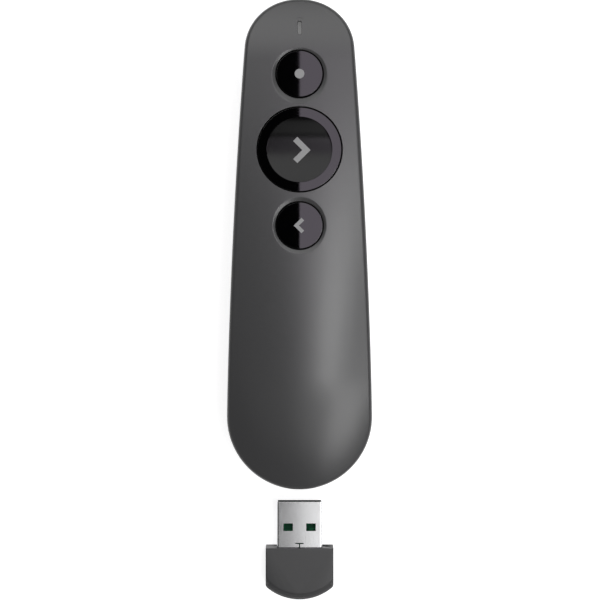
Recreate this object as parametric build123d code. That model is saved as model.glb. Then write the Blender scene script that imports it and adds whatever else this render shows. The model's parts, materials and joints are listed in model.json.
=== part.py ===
from build123d import *
import math
import os

# A wireless presentation clicker with its plug-in receiver.
# X runs across the handset, +Y towards the laser end and +Z up. The handset lies on its
# underside at z = 0, and the origin is under the middle of the handset and receiver together.

# ---------------------------------------------------------------- driving dimensions, mm
# Outline of the handset, seen from above: an arc at each end and two long, slightly bowed sides
body_length = 125.5
nose_tip_radius = 14.9
nose_tip_angle = 21.0
nose_shoulder_radius = 13.45
side_radius = 1860.0
tail_radius = 18.6

# Form of the handset, seen from the side
body_height = 22.0
parting_height = 12.0
crest_from_nose = 57.0
crest_radius = 1500.0
nose_roll_length = 16.0
nose_roll_radius = 45.0
tail_roll_length = 29.5
tail_roll_radius = 80.0
nose_crown_radius = 250.0
tail_crown_radius = 36.0
rim_radius = 2.2
bilge_radius = 8.0
belly_rise_length = 32.0
belly_rise_radius = 130.0
hull_sections = 7

# Shells
wall = 2.0
lip_inset = 1.1
lip_height = 1.2
lip_gap = 0.1

# Buttons
small_hole_radius = 6.15
large_hole_radius = 10.9
laser_from_nose = 19.65
next_from_nose = 38.8
back_from_nose = 58.0
button_gap = 0.25
button_recess = 0.1
button_edge = 0.3
button_travel = 0.5
dish_radius = 8.3
dish_depth = 0.8
surround_width = 1.05
surround_depth = 0.45
seat_depth = 2.6
flange_width = 0.6
flange_thickness = 0.8
flange_float = 0.05
skirt_gap = 0.15
skirt_wall = 0.8
skirt_height = 1.2
key_width = 2.0
key_length = 0.7
mark_depth = 0.35
laser_dot_radius = 1.2
next_mark_height = 6.7
next_mark_arm = 1.5
next_mark_tip = 2.8
back_mark_height = 3.9
back_mark_arm = 0.93
back_mark_tip = 1.45

# Status light
led_from_nose = 7.85
led_slot_width = 1.1
led_slot_length = 3.6
light_pipe_gap = 0.06
light_pipe_recess = 0.35
light_pipe_foot = 0.7
led_size = (1.6, 3.2, 0.7)

# Circuit board and its parts
board_bottom = 13.8
board_thickness = 1.0
board_gap = 0.7
board_front_from_nose = 5.2
switch_size = 6.0
switch_height = 2.3
switch_foot = 0.15
plunger_radius = 1.7
plunger_fit = 0.05
plunger_depth = 0.4
plunger_bottom_gap = 0.1
radio_chip_size = (5.0, 5.0, 0.9)
crystal_size = (1.6, 3.2, 0.8)
crystal_x = 5.6
capacitor_size = (1.8, 1.0, 0.6)
capacitor_x = 6.0
capacitor_pitch = 2.2
capacitor_rows = 3

# Laser
laser_axis_height = 9.2
laser_radius = 3.25
laser_length = 13.0
laser_front_from_nose = 3.4
laser_bore_radius = 1.6
laser_bore_depth = 2.4
lens_thickness = 0.8
lens_gap = 0.03
cradle_fit = 0.05
cradle_rib = 1.4
cradle_half_width = 4.6
aperture_radius = 2.1
window_fit = 0.05
window_flange_radius = 2.6
window_flange_depth = 0.8
window_recess = 0.3

# Two AAA cells, side by side under the circuit board
cell_radius = 5.25
cell_length = 44.5
cell_nub_radius = 1.9
cell_nub_height = 0.9
cell_pitch = 11.0
cell_floor_gap = 0.3
bay_from_socket = 5.35
contact_plate = 0.3
contact_width = 6.0
contact_height = 7.0
contact_spring_depth = 4.3
contact_gap = 0.1

# Inner chassis that holds the cells and carries the board
chassis_wall = 1.1
chassis_end_wall = 1.2
chassis_bore = 5.5
chassis_rib_lift = 2.5
chassis_seat_gap = 0.1
latch_room_height = 5.0
latch_room_half_width = 6.2
board_post_from_nose = 13.75
board_post_x = 7.0
board_post_radius = 1.5

# Battery door
door_thickness = 1.4
door_half_width = 11.6
door_past_bay_front = 7.5
door_past_bay_back = 2.9
door_corner = 3.0
door_gap = 0.2
door_ledge = 1.2
hook_x = 5.0
hook_width = 4.0
hook_reach = 2.0
hook_root = 1.5
hook_thickness = 0.9
hook_gap = 0.25
latch_width = 10.0
latch_thickness = 0.8
latch_rise = 4.2
latch_hook_reach = 0.9
latch_hook_height = 0.7
latch_setback = 0.3
latch_leg_spacing = 1.5

# Fasteners
front_screw_x = 9.4
rear_screw_x = 12.6
case_screw_from_end = 25.75
boss_radius = 3.0
boss_clearance = 0.35
screw_head_radius = 1.9
screw_head_height = 1.3
screw_seat_height = 5.0
screw_shank_radius = 1.0
screw_length = 12.0
screw_head_gap = 0.3
screw_fit = 0.05
board_screw_from_bay_back = 5.1
board_screw_radius = 0.8
board_screw_length = 2.6
board_screw_head_radius = 1.5
board_screw_head_height = 0.8

# Receiver: a USB-A plug in a short moulded housing
park_gap = 4.4
plug_width = 12.0
plug_height = 4.5
plug_length = 12.0
plug_wall = 0.3
plug_corner = 0.6
plug_root = 3.8
plug_window_width = 2.5
plug_window_length = 2.0
plug_window_x = 3.0
plug_window_from_mouth = 6.6
seam_mark_from_mouth = 10.7
seam_mark_width = 2.1
seam_slit = 0.3
housing_width = 17.8
housing_length = 13.6
housing_height = 7.0
housing_end_radius = 13.3
housing_bevel_length = 2.0
housing_bevel_height = 1.4
housing_corner = 1.2
housing_edge = 0.4
housing_fit = 0.05
tongue_setback = 0.6
tongue_hollow = 1.95
tongue_thickness = 1.1
tongue_side_gap = 0.1
pad_widths = (1.2, 1.0, 1.0, 1.2)
pad_places = (-3.5, -1.0, 1.0, 3.5)
pad_length = 6.0
pad_thickness = 0.12

# Dock for the receiver, in the underside of the tail
docked_setback = 3.0
dock_side_gap = 0.3
dock_end_gap = 0.3
dock_roof_gap = 0.3
dock_wall = 1.2
liner_fit = 0.05
socket_fit = 0.12
socket_wall = 1.4
socket_end_wall = 0.5
socket_end_gap = 0.2
socket_floor_gap = 0.15

# ---------------------------------------------------------------- places worked out from them
set_length = body_length + park_gap + plug_length + housing_length
nose_y = set_length / 2
tail_y = nose_y - body_length
board_top = board_bottom + board_thickness
switch_top = board_top + switch_height
cell_axis_height = wall + cell_floor_gap + cell_radius
bay_length = contact_plate + contact_gap + cell_length + contact_gap + contact_spring_depth + contact_plate
receiver_end_y = -set_length / 2
housing_front_y = receiver_end_y + housing_length
mouth_y = housing_front_y + plug_length
plug_axis_height = housing_height / 2
receiver_travel = tail_y + docked_setback - receiver_end_y
dock_front_y = housing_front_y + receiver_travel + dock_end_gap
socket_back_y = dock_front_y + dock_wall
socket_front_y = mouth_y + receiver_travel + socket_end_gap + socket_end_wall
bay_back_y = socket_front_y + bay_from_socket
bay_front_y = bay_back_y + bay_length
door_front_y = bay_front_y + door_past_bay_front
door_back_y = bay_back_y - door_past_bay_back
front_screw_y = nose_y - case_screw_from_end
rear_screw_y = tail_y + case_screw_from_end
board_screw_ys = (nose_y - (next_from_nose + back_from_nose) / 2, bay_back_y + board_screw_from_bay_back)
radio_chip_y = (nose_y - back_from_nose + board_screw_ys[1]) / 2
far = body_length


def along(from_nose):
    """Y of a place given by its distance from the tip of the nose."""
    return nose_y - from_nose


def block(x0, x1, y0, y1, z0, z1):
    """Box between two corners."""
    centre = ((x0 + x1) / 2, (y0 + y1) / 2, (z0 + z1) / 2)
    return Pos(*centre) * Box(abs(x1 - x0), abs(y1 - y0), abs(z1 - z0))


def disc(radius, x, y, z0, z1):
    """Upright cylinder between two heights."""
    return Pos(x, y, (z0 + z1) / 2) * Cylinder(radius, z1 - z0)


def rod(radius, x, z, y0, y1):
    """Cylinder along Y between two places."""
    return Pos(x, (y0 + y1) / 2, z) * Rot(90, 0, 0) * Cylinder(radius, y1 - y0)


def prism(face, z0, z1):
    """A flat outline drawn upwards between two heights."""
    return Pos(0, 0, z0) * extrude(face, amount=z1 - z0)


# ---------------------------------------------------------------- form of the handset
def meet_of_circles(first, first_reach, second, second_reach):
    """The point on the -X side at the given distances from two centres."""
    line = second - first
    run = (first_reach**2 - second_reach**2 + line.length**2) / (2 * line.length)
    rise = math.sqrt(first_reach**2 - run**2)
    unit = line.normalized()
    return first + unit * run + Vector(unit.Y, -unit.X) * rise


def outline(inset=0.0):
    """Plan of the handset, moved inwards all round: six arcs, each tangent to the next."""
    angle = math.radians(nose_tip_angle)
    tip = Vector(0, nose_y - nose_tip_radius)
    shoulder = tip + Vector(math.sin(angle), math.cos(angle)) * (nose_tip_radius - nose_shoulder_radius)
    tail = Vector(0, tail_y + tail_radius)
    side = meet_of_circles(shoulder, side_radius - nose_shoulder_radius, tail, side_radius - tail_radius)
    reach = side_radius - inset
    tip_end = tip + Vector(math.sin(angle), math.cos(angle)) * (nose_tip_radius - inset)
    side_front = side + (shoulder - side).normalized() * reach
    side_back = side + (tail - side).normalized() * reach
    side_middle = side + ((side_front + side_back) * 0.5 - side).normalized() * reach
    bend = ((tip_end + side_front) * 0.5 - shoulder).normalized()
    shoulder_middle = shoulder + bend * (nose_shoulder_radius - inset)

    def mirrored(point):
        return Vector(-point.X, point.Y)

    half = (
        (side_back, side_middle, side_front),
        (side_front, shoulder_middle, tip_end),
    )
    arcs = [ThreePointArc(*points) for points in half]
    arcs += [ThreePointArc(*(mirrored(point) for point in points)) for points in half]
    arcs.append(ThreePointArc(tip_end, Vector(0, nose_y - inset), mirrored(tip_end)))
    arcs.append(ThreePointArc(side_back, Vector(0, tail_y + inset), mirrored(side_back)))
    return make_face(arcs)


def top_height(from_nose):
    """Height of the top along the middle line: a long shallow arc that rolls down at both ends."""
    height = body_height - (from_nose - crest_from_nose) ** 2 / (2 * crest_radius)
    into_nose = max(nose_roll_length - from_nose, 0.0)
    into_tail = max(from_nose - (body_length - tail_roll_length), 0.0)
    return height - into_nose**2 / (2 * nose_roll_radius) - into_tail**2 / (2 * tail_roll_radius)


def crown_radius(from_nose):
    """Radius of the top across the handset: nearly flat at the nose, round at the tail."""
    share = max(from_nose / body_length, 0.0) ** 2
    return 1 / ((1 - share) / nose_crown_radius + share / tail_crown_radius)


def above_top(from_nose, inset):
    """Upright section of the space over the top, at one place along the handset."""
    half_width = 1.25 * tail_radius
    radius = crown_radius(from_nose) - inset
    crest = top_height(from_nose) - inset
    edge = crest - radius + math.sqrt(radius**2 - half_width**2)
    lid = body_height + 2 * rim_radius
    plane = Plane(origin=(0, along(from_nose), 0), x_dir=(1, 0, 0), z_dir=(0, -1, 0))
    arc = ThreePointArc((-half_width, edge), (0, crest), (half_width, edge))
    sides = Polyline((half_width, edge), (half_width, lid), (-half_width, lid), (-half_width, edge))
    return plane * make_face([arc, sides])


def below_belly(inset):
    """Space under the belly, which is flat and rises towards the nose on a large arc."""
    start = along(belly_rise_length)
    radius = belly_rise_radius - inset
    angle = math.asin(1.2 * belly_rise_length / belly_rise_radius)

    def on_rise(part):
        return (start + radius * math.sin(angle * part), belly_rise_radius - radius * math.cos(angle * part))

    rear = (tail_y - wall, inset)
    low = -bilge_radius
    arc = ThreePointArc((start, inset), on_rise(0.5), on_rise(1.0))
    front_low = (on_rise(1.0)[0], low)
    rest = Polyline(on_rise(1.0), front_low, (rear[0], low), rear, (start, inset))
    face = Plane(origin=(0, 0, 0), x_dir=(0, 1, 0), z_dir=(1, 0, 0)) * make_face([arc, rest])
    return extrude(face, amount=1.5 * tail_radius, both=True)


def rounded(form, wanted, radius):
    """Corner turned in three narrow flats, each tangent to the arc of the given radius."""
    middle = radius * (2 - math.sqrt(2))
    flanks = radius * (math.tan(math.pi / 8) - math.tan(math.pi / 16))
    for setback in (middle, flanks):
        corner = [edge for edge in form.edges() if wanted(edge.bounding_box())]
        form = chamfer(corner, setback)
    return form


def hull(inset=0.0):
    """Form of the handset, moved inwards by an inset, with a sharp edge round its top."""
    margin = 0.05 * body_length
    steps = [i / (hull_sections - 1) for i in range(hull_sections)]
    places = [-margin + step * (body_length + 2 * margin) for step in steps]
    form = prism(outline(inset), -wall, body_height + wall)
    form = form - loft([above_top(place, inset) for place in places]) - below_belly(inset)
    return rounded(form, lambda box: box.max.Z < parting_height - 2 * wall, bilge_radius - inset)


def crown_form(from_nose, inset):
    """Cylinder that lies along the handset and follows its top near one place."""
    radius = crown_radius(from_nose)
    rise = top_height(from_nose - 1) - top_height(from_nose + 1)
    tilt = math.degrees(math.atan(rise / 2))
    lie = Pos(0, along(from_nose), top_height(from_nose) - inset) * Rot(tilt, 0, 0)
    return lie * Pos(0, 0, -radius) * Rot(90, 0, 0) * Cylinder(radius, 2 * body_height)


body = rounded(hull(), lambda box: box.min.Z > parting_height, rim_radius)
cavity = hull(wall)
above_parting = block(-far, far, -far, far, parting_height, far)
below_parting = block(-far, far, -far, far, -far, parting_height)

# ---------------------------------------------------------------- buttons
buttons = {
    "laser": (laser_from_nose, small_hole_radius),
    "next": (next_from_nose, large_hole_radius),
    "back": (back_from_nose, small_hole_radius),
}


def chevron(height, arm, tip, direction):
    """Right-angled arrowhead that points along +X or -X, with square-cut arms."""
    half = height / 2
    cut = arm / math.sqrt(2)
    side = [(tip, 0), (tip - half, half), (tip - half - cut, half - cut), (tip - arm * math.sqrt(2), 0)]
    points = side + [(x, -y) for x, y in (side[2], side[1])]
    return make_face(Polyline(*[(direction * x, y) for x, y in points], close=True))


def cap(name):
    """Button cap whose top follows the shell, on a keyed flange; the large one has a dish for the thumb."""
    from_nose, hole_radius = buttons[name]
    y = along(from_nose)
    crest = top_height(from_nose)
    seat = crest - seat_depth
    flange_top = seat - flange_float
    radius = hole_radius - button_gap
    crown = disc(radius, 0, y, flange_top, crest + 1) & crown_form(from_nose, button_recess)
    rim = [edge for edge in crown.edges() if edge.bounding_box().min.Z > seat + 1]
    crown = chamfer(rim, button_edge)
    if name == "next":
        ball = (dish_radius**2 + dish_depth**2) / (2 * dish_depth)
        crown = crown - Pos(0, y, crest - button_recess - dish_depth + ball) * Rot(90, 0, 0) * Sphere(ball)
    flange = disc(hole_radius + flange_width, 0, y, flange_top - flange_thickness, flange_top)
    key_reach = hole_radius + flange_width + key_length
    key = block(-key_reach, key_reach, y - key_width / 2, y + key_width / 2, flange_top - flange_thickness,
                flange_top)
    return crown + flange + key


def inlaid(button, face, y):
    """Button and the mark let into its top, both with the top's own surface."""
    column = Pos(0, y, 0) * prism(face, 0, far)
    mark = (button & column) - Pos(0, 0, -mark_depth) * button
    return button - mark, mark


laser_cap, laser_mark = inlaid(cap("laser"), Circle(laser_dot_radius), along(laser_from_nose))
next_cap, next_mark = inlaid(
    cap("next"), chevron(next_mark_height, next_mark_arm, next_mark_tip, 1), along(next_from_nose)
)
back_cap, back_mark = inlaid(
    cap("back"), chevron(back_mark_height, back_mark_arm, back_mark_tip, -1), along(back_from_nose)
)


def flange_bottom(name):
    """Height of the underside of a button's flange at rest."""
    return top_height(buttons[name][0]) - seat_depth - flange_float - flange_thickness


def switch(name):
    """Tact switch body with a square foot and the bore for its plunger."""
    y = along(buttons[name][0])
    half = switch_size / 2
    case = block(-half, half, y - half, y + half, board_top, switch_top)
    case = chamfer(case.edges().filter_by(Axis.Z), switch_size / 10)
    foot_half = half + switch_foot
    foot = block(-foot_half, foot_half, y - half / 2, y + half / 2, board_top, board_top + switch_height / 4)
    bore_depth = plunger_depth + button_travel + plunger_bottom_gap
    bore = disc(plunger_radius + plunger_fit, 0, y, switch_top - bore_depth, switch_top + 1)
    return case + foot - bore


def plunger(name):
    """Round plunger of a tact switch, standing up to its button's flange."""
    y = along(buttons[name][0])
    return disc(plunger_radius, 0, y, switch_top - plunger_depth, flange_bottom(name))


# ---------------------------------------------------------------- fasteners
case_screws_at = [(side * front_screw_x, front_screw_y) for side in (-1, 1)]
case_screws_at += [(side * rear_screw_x, rear_screw_y) for side in (-1, 1)]


def case_screw(x, y):
    """Self-tapping screw, driven from below into the top shell's boss."""
    head = disc(screw_head_radius, x, y, screw_seat_height - screw_head_height, screw_seat_height)
    return head + disc(screw_shank_radius, x, y, screw_seat_height, screw_seat_height + screw_length)


def board_screw(y):
    """Short screw that holds the board down on the chassis."""
    shank = disc(board_screw_radius, 0, y, board_top - board_screw_length, board_top)
    return shank + disc(board_screw_head_radius, 0, y, board_top, board_top + board_screw_head_height)


# ---------------------------------------------------------------- top shell
top_shell = (body - cavity) & above_parting
for x, y in case_screws_at:
    boss = disc(boss_radius - screw_head_gap, x, y, parting_height, body_height) & hull(wall / 2)
    top_shell = top_shell + boss
groove = outline(lip_inset - lip_gap) - outline(wall + lip_gap)
top_shell = top_shell - prism(groove, parting_height, parting_height + lip_height + lip_gap)
for name, (from_nose, hole_radius) in buttons.items():
    seat = top_height(from_nose) - seat_depth
    flange_radius = hole_radius + flange_width
    skirt_radius = flange_radius + skirt_gap + skirt_wall
    ring = disc(skirt_radius, 0, along(from_nose), seat - skirt_height, body_height) & hull(wall / 2)
    top_shell = top_shell + ring
for name, (from_nose, hole_radius) in buttons.items():
    y = along(from_nose)
    crest = top_height(from_nose)
    seat = crest - seat_depth
    pocket_radius = hole_radius + flange_width + skirt_gap
    key_half = key_width / 2 + skirt_gap
    key_reach = pocket_radius + key_length
    top_shell = top_shell - disc(hole_radius, 0, y, seat - 1, far)
    top_shell = top_shell - disc(pocket_radius, 0, y, seat - skirt_height - 1, seat)
    top_shell = top_shell - block(-key_reach, key_reach, y - key_half, y + key_half, seat - skirt_height - 1,
                                  seat)
for name in ("laser", "back"):
    from_nose, hole_radius = buttons[name]
    crest = top_height(from_nose)
    cone = Cone(hole_radius, hole_radius + 2 * surround_width, 2 * surround_depth)
    top_shell = top_shell - Pos(0, along(from_nose), crest) * cone
led_y = along(led_from_nose)
led_slot = Pos(0, led_y, 0) * Rot(0, 0, 90) * SlotOverall(led_slot_length, led_slot_width)
top_shell = top_shell - prism(led_slot, board_top, far)
screw_bore_top = screw_seat_height + screw_length + screw_head_gap
for x, y in case_screws_at:
    top_shell = top_shell - disc(screw_shank_radius + screw_fit, x, y, 0, screw_bore_top)

pipe_face = Pos(0, led_y, 0) * Rot(0, 0, 90) * SlotOverall(
    led_slot_length - 2 * light_pipe_gap, led_slot_width - 2 * light_pipe_gap
)
pipe_foot_face = Pos(0, led_y, 0) * Rot(0, 0, 90) * SlotOverall(
    led_slot_length + 2 * light_pipe_foot, led_slot_width + 2 * light_pipe_foot
)
led_top = board_top + led_size[2]
pipe_low = led_top + light_pipe_recess
light_pipe = prism(pipe_face, pipe_low, far) & crown_form(led_from_nose, light_pipe_recess)
under_shell = crown_form(led_from_nose, wall + light_pipe_recess / 2)
light_pipe = light_pipe + (prism(pipe_foot_face, pipe_low, far) & under_shell)
status_led = Pos(0, led_y, (board_top + led_top) / 2) * Box(*led_size)

# ---------------------------------------------------------------- bottom shell
bottom_shell = (body - cavity) & below_parting
lip = outline(lip_inset) - outline(wall)
bottom_shell = bottom_shell + prism(lip, parting_height - wall, parting_height + lip_height)
inside = hull(wall / 2)

for x, y in case_screws_at:
    bottom_shell = bottom_shell + (disc(boss_radius, x, y, 0, parting_height) & inside)
for side in (-1, 1):
    post = disc(board_post_radius, side * board_post_x, along(board_post_from_nose), 0, board_bottom)
    bottom_shell = bottom_shell + (post & inside)

laser_front_y = along(laser_front_from_nose)
laser_back_y = laser_front_y - laser_length
for rib_y in (laser_front_y - 2 * cradle_rib, laser_back_y + cradle_rib):
    rib = block(-cradle_half_width, cradle_half_width, rib_y - cradle_rib / 2, rib_y + cradle_rib / 2, 0,
                laser_axis_height)
    bottom_shell = bottom_shell + (rib & inside)
bottom_shell = bottom_shell - rod(laser_radius + cradle_fit, 0, laser_axis_height, laser_back_y - 1,
                                  laser_front_y + 0.2)

dock_half_width = housing_width / 2 + dock_side_gap
dock_roof = housing_height + dock_roof_gap
dock_room = block(-dock_half_width, dock_half_width, tail_y - far, dock_front_y, -1, dock_roof)
plug_half_width = plug_width / 2 + 2 * socket_fit
plug_low = plug_axis_height - plug_height / 2 - socket_floor_gap
plug_high = plug_axis_height + plug_height / 2 + 2 * socket_fit
plug_passage = block(-plug_half_width, plug_half_width, dock_front_y - 1, socket_back_y + 1, plug_low,
                     plug_high)
socket_half_width = plug_width / 2 + socket_fit + socket_wall
socket_room = block(-socket_half_width - socket_fit, socket_half_width + socket_fit, socket_back_y,
                    socket_front_y + socket_fit, plug_low, wall + 1)
bottom_shell = bottom_shell - dock_room - plug_passage - socket_room

for x, y in case_screws_at:
    bottom_shell = bottom_shell - disc(screw_head_radius + screw_head_gap, x, y, -1, screw_seat_height)
    bottom_shell = bottom_shell - disc(screw_shank_radius + screw_fit, x, y, 0, parting_height + 1)

window_back_y = nose_y - wall
window_front_y = window_back_y + window_flange_depth
bottom_shell = bottom_shell - rod(aperture_radius, 0, laser_axis_height, window_back_y - 1, nose_y + 1)
bottom_shell = bottom_shell - rod(window_flange_radius + window_fit, 0, laser_axis_height,
                                  laser_front_y, window_front_y)


def door_outline(grow):
    """Plan of the battery door, grown all round."""
    width = 2 * (door_half_width + grow)
    length = door_front_y - door_back_y + 2 * grow
    centre = (door_front_y + door_back_y) / 2
    return Pos(0, centre, 0) * RectangleRounded(width, length, door_corner + grow)


door_top = parting_height / 2
outer_cut = prism(door_outline(door_gap), -1, door_top) - hull(door_thickness + chassis_seat_gap)
inner_cut = prism(door_outline(-door_ledge), -1, door_top)
bottom_shell = bottom_shell - outer_cut - inner_cut
hook_half = hook_width / 2
hook_low = wall + hook_gap
for side in (-1, 1):
    notch = block(side * hook_x - hook_half - door_gap, side * hook_x + hook_half + door_gap,
                  door_front_y - hook_root - door_gap, door_front_y + door_gap, 0, hook_low)
    bottom_shell = bottom_shell - notch
latch_half = latch_width / 2
latch_notch = block(-latch_half - door_gap, latch_half + door_gap, door_back_y - door_gap,
                    door_back_y + 2 * door_ledge, 0, hook_low)
bottom_shell = bottom_shell - latch_notch

laser_profile = [
    (0, laser_back_y),
    (laser_radius, laser_back_y),
    (laser_radius, laser_front_y),
    (laser_bore_radius, laser_front_y),
    (laser_bore_radius, laser_front_y - laser_bore_depth),
    (0, laser_front_y - laser_bore_depth),
]
barrel = revolve(make_face(Polyline(*laser_profile, close=True)), axis=Axis.Y)
laser_module = Pos(0, 0, laser_axis_height) * barrel
lens_back_y = laser_front_y - laser_bore_depth + lens_gap
laser_lens = rod(laser_bore_radius - lens_gap, 0, laser_axis_height, lens_back_y,
                 lens_back_y + lens_thickness)
laser_window = rod(window_flange_radius, 0, laser_axis_height, window_back_y, window_front_y)
laser_window += rod(aperture_radius - window_fit, 0, laser_axis_height, window_front_y,
                    nose_y - window_recess)

# ---------------------------------------------------------------- chassis, cells and contacts
cell_x = cell_pitch / 2
chassis_half_width = cell_x + chassis_bore + chassis_wall
chassis = block(-chassis_half_width, chassis_half_width, bay_back_y - chassis_end_wall,
                bay_front_y + chassis_end_wall, 0, board_bottom)
chassis = chassis & hull(wall + chassis_seat_gap)
for side in (-1, 1):
    chassis = chassis - rod(chassis_bore, side * cell_x, cell_axis_height, bay_back_y, bay_front_y)
chassis = chassis - block(-cell_x - chassis_bore, cell_x + chassis_bore, bay_back_y, bay_front_y, 0,
                          cell_axis_height)
chassis = chassis - block(-cell_x, cell_x, bay_back_y, bay_front_y, 0, cell_axis_height + chassis_rib_lift)
chassis = chassis - block(-latch_room_half_width, latch_room_half_width, door_back_y, bay_back_y + 1, 0,
                          latch_room_height)
chassis = chassis - block(-cell_x, cell_x, bay_back_y, bay_back_y + contact_plate + contact_gap,
                          0, cell_axis_height + contact_height / 2 + contact_gap)
for y in board_screw_ys:
    chassis = chassis - disc(board_screw_radius + screw_fit, 0, y,
                             board_top - board_screw_length - screw_head_gap, far)
for x, y in case_screws_at:
    chassis = chassis - disc(boss_radius + boss_clearance, x, y, 0, far)


def cell(x, direction):
    """AAA cell along Y with its raised pole; direction is where the pole points."""
    pole_end = bay_front_y if direction > 0 else bay_back_y
    pole_end -= direction * (contact_plate + contact_gap)
    can_end = pole_end - direction * cell_nub_height
    foot_end = pole_end - direction * cell_length
    low, high = sorted((can_end, foot_end))
    can = rod(cell_radius, x, cell_axis_height, low, high)
    low, high = sorted((can_end, pole_end))
    return can + rod(cell_nub_radius, x, cell_axis_height, low, high)


def contact(x, wall_y, inward, sprung):
    """Sheet contact against an end wall of the bay; a sprung one folds over and bows to the cell."""
    half = contact_width / 2
    low = cell_axis_height - contact_height / 2 + 1
    high = cell_axis_height + contact_height / 2
    plate = block(x - half, x + half, wall_y, wall_y + inward * contact_plate, low, high)
    if not sprung:
        return plate
    bow_y = wall_y + inward * (contact_plate + contact_spring_depth - contact_plate / 2)
    start_y = wall_y + inward * contact_plate / 2
    top = (start_y, high)
    bow = (bow_y, cell_axis_height)
    tip = (wall_y + inward * contact_spring_depth / 2, low)
    line = Polyline(top, (start_y + inward * contact_plate, high), bow, tip)
    face = Plane(origin=(x - half * 0.7, 0, 0), x_dir=(0, 1, 0), z_dir=(1, 0, 0)) * trace(line, contact_plate)
    return plate + extrude(face, amount=1.4 * half)


battery_left = cell(-cell_x, 1)
battery_right = cell(cell_x, -1)
positive_contact = contact(-cell_x, bay_front_y, -1, False)
negative_contact = contact(cell_x, bay_front_y, -1, True)
strap = block(-cell_x, cell_x, bay_back_y, bay_back_y + contact_plate,
              cell_axis_height, cell_axis_height + contact_height / 2)
bridge_contact = contact(-cell_x, bay_back_y, 1, True) + contact(cell_x, bay_back_y, 1, False) + strap

# ---------------------------------------------------------------- battery door
battery_door = (body - hull(door_thickness)) & prism(door_outline(0), -1, door_top)
for side in (-1, 1):
    x0 = side * hook_x - hook_half
    root = block(x0, x0 + hook_width, door_front_y - hook_root, door_front_y - door_gap,
                 door_thickness / 2, hook_low + hook_thickness)
    tab = block(x0, x0 + hook_width, door_front_y - hook_root, door_front_y + hook_reach, hook_low,
                hook_low + hook_thickness)
    battery_door = battery_door + root + tab
leg_y = door_back_y + latch_setback + latch_thickness / 2
battery_door = battery_door - block(-latch_half - door_gap, latch_half + door_gap, door_back_y - 1,
                                    leg_y + latch_thickness / 2 + door_gap, -1, door_top)
arch = latch_leg_spacing / 2
outer_leg_top = (leg_y, latch_rise - arch)
inner_leg_top = (leg_y + 2 * arch, latch_rise - arch)
latch_line = Wire([
    Line((leg_y, latch_thickness / 2), outer_leg_top),
    ThreePointArc(outer_leg_top, (leg_y + arch, latch_rise), inner_leg_top),
    Line(inner_leg_top, (leg_y + 2 * arch, door_thickness)),
])
latch_plane = Plane(origin=(-latch_half, 0, 0), x_dir=(0, 1, 0), z_dir=(1, 0, 0))
door_latch = extrude(latch_plane * trace(latch_line, latch_thickness), amount=latch_width)
door_latch += block(-latch_half, latch_half, door_back_y - latch_hook_reach, leg_y, hook_low,
                    hook_low + latch_hook_height)

# ---------------------------------------------------------------- circuit board
main_board = prism(outline(wall + board_gap), board_bottom, board_top)
main_board = main_board & block(-far, far, bay_back_y, along(board_front_from_nose), 0, far)
for x, y in case_screws_at:
    main_board = main_board - disc(boss_radius + boss_clearance, x, y, 0, far)
for y in board_screw_ys:
    main_board = main_board - disc(board_screw_radius + screw_fit, 0, y, 0, far)


def chip(x, y, size):
    """Moulded chip with a bevelled top, standing on the board."""
    package = Pos(x, y, board_top + size[2] / 2) * Box(*size)
    return chamfer(package.edges().group_by(Axis.Z)[-1], size[2] / 4)


radio_chip = chip(0, radio_chip_y, radio_chip_size)
crystal = chip(crystal_x, radio_chip_y, crystal_size)
first_row_y = radio_chip_y - radio_chip_size[1]
chip_capacitors = Compound(children=[
    chip(side * capacitor_x, first_row_y - row * capacitor_pitch, capacitor_size)
    for side in (-1, 1)
    for row in range(capacitor_rows)
])

# ---------------------------------------------------------------- receiver
end_centre_y = receiver_end_y + housing_end_radius
housing_half_width = housing_width / 2
front_half = block(-housing_half_width, housing_half_width, receiver_end_y - 1, housing_front_y, 0,
                   housing_height)
rim_profile = [
    (0, housing_height / 2),
    (housing_end_radius - housing_bevel_length, housing_height / 2),
    (housing_end_radius, housing_height / 2 - housing_bevel_height),
    (housing_end_radius, -housing_height / 2 + housing_bevel_height),
    (housing_end_radius - housing_bevel_length, -housing_height / 2),
    (0, -housing_height / 2),
]
rim_face = Plane.XZ * make_face(Polyline(*rim_profile, close=True))
end_form = Pos(0, end_centre_y, plug_axis_height) * revolve(rim_face, axis=Axis.Z)
receiver_housing = front_half & end_form
corners = receiver_housing.edges().filter_by(Axis.Z)
receiver_housing = fillet(corners.sort_by(Axis.Y)[:2], housing_corner)
long_edges = receiver_housing.edges().filter_by(Axis.Y)
front_edges = receiver_housing.edges().filter_by(Axis.X)
receiver_housing = fillet(long_edges + front_edges, housing_edge)
root_y = housing_front_y - plug_root
plug_room = Pos(0, (root_y + housing_front_y) / 2 + 0.5, plug_axis_height) * Box(
    plug_width + 2 * housing_fit, plug_root + 1, plug_height + 2 * housing_fit
)
receiver_housing = receiver_housing - plug_room


def plug_section(shrink):
    """Rounded rectangle across the plug, moved inwards all round."""
    plane = Plane(origin=(0, 0, plug_axis_height), x_dir=(1, 0, 0), z_dir=(0, -1, 0))
    return plane * RectangleRounded(plug_width - 2 * shrink, plug_height - 2 * shrink, plug_corner - shrink)


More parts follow.
